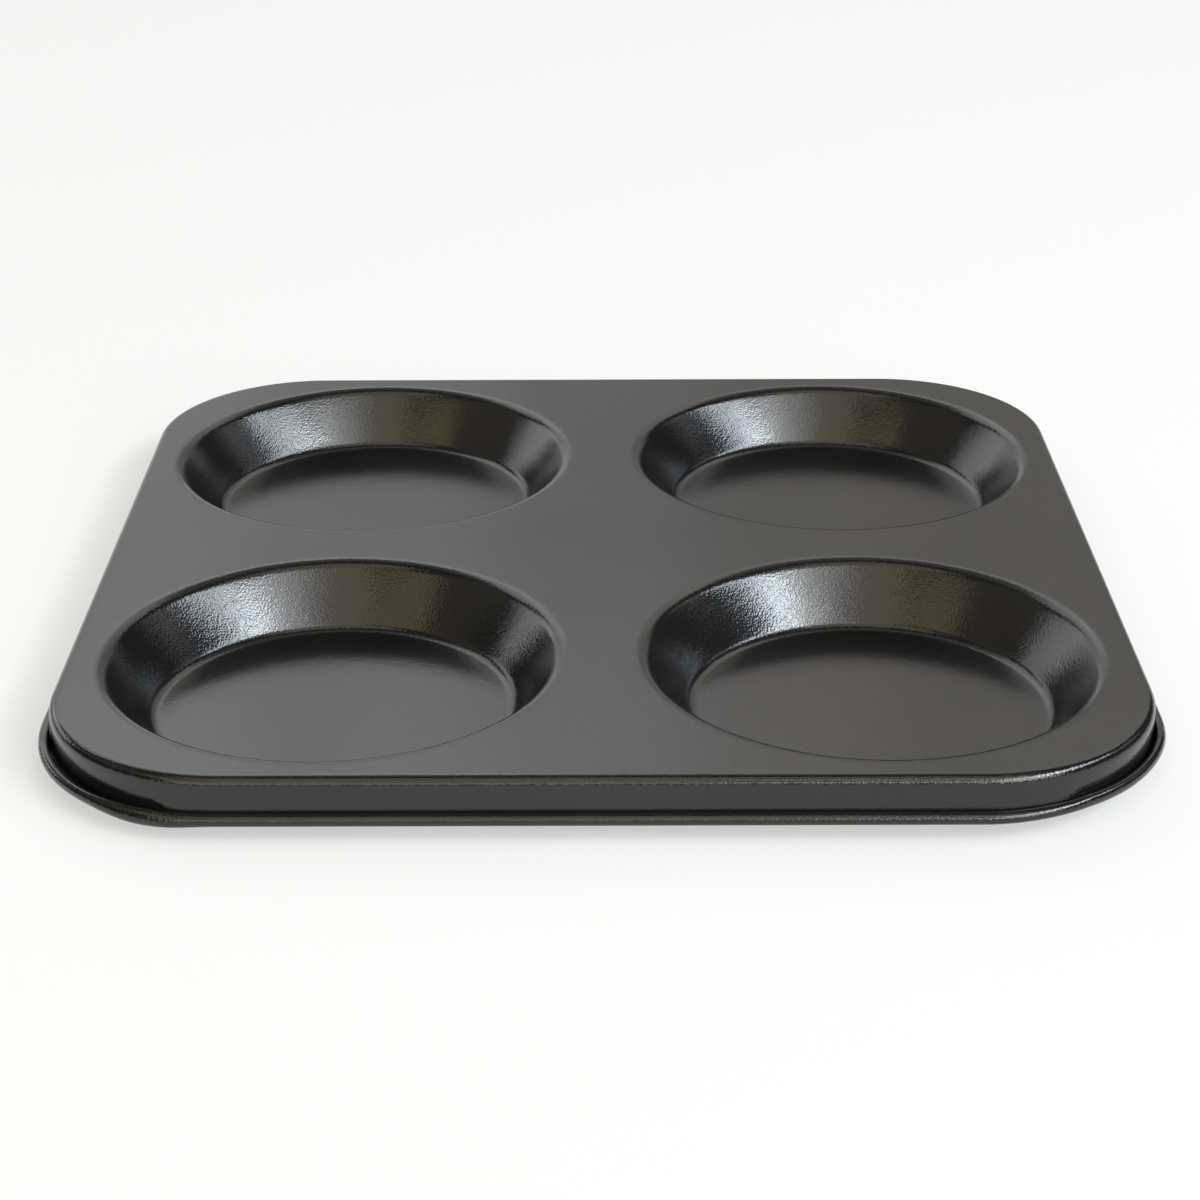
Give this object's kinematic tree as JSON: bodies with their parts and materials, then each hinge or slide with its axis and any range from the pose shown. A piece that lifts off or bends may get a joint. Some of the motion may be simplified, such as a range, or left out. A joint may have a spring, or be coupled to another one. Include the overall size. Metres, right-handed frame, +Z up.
{
  "type": "yorkshire pudding tray",
  "caption": "Square non-stick steel baking tray with shallow round cups drawn down from a flat deck, rounded corners, a short skirt and a wired curled rim, for baking yorkshire puddings",
  "frame": {"origin": "centre of the tray, on the surface that it stands on, under the floors of its cups", "axes": "+Z up out of the cups, +X to the right and +Y to the back as pictured, both along the tray's sides"},
  "size_m": [0.2404, 0.2404, 0.014],
  "materials": {
    "coated_sheet": "carbon steel sheet under a fine-grained semi-gloss charcoal non-stick coating",
    "wire": "drawn steel wire, bare"
  },
  "bodies": {
    "root": {"pressed_tray": "coated_sheet", "rim_wire": "wire"}
  },
  "joints": []
}
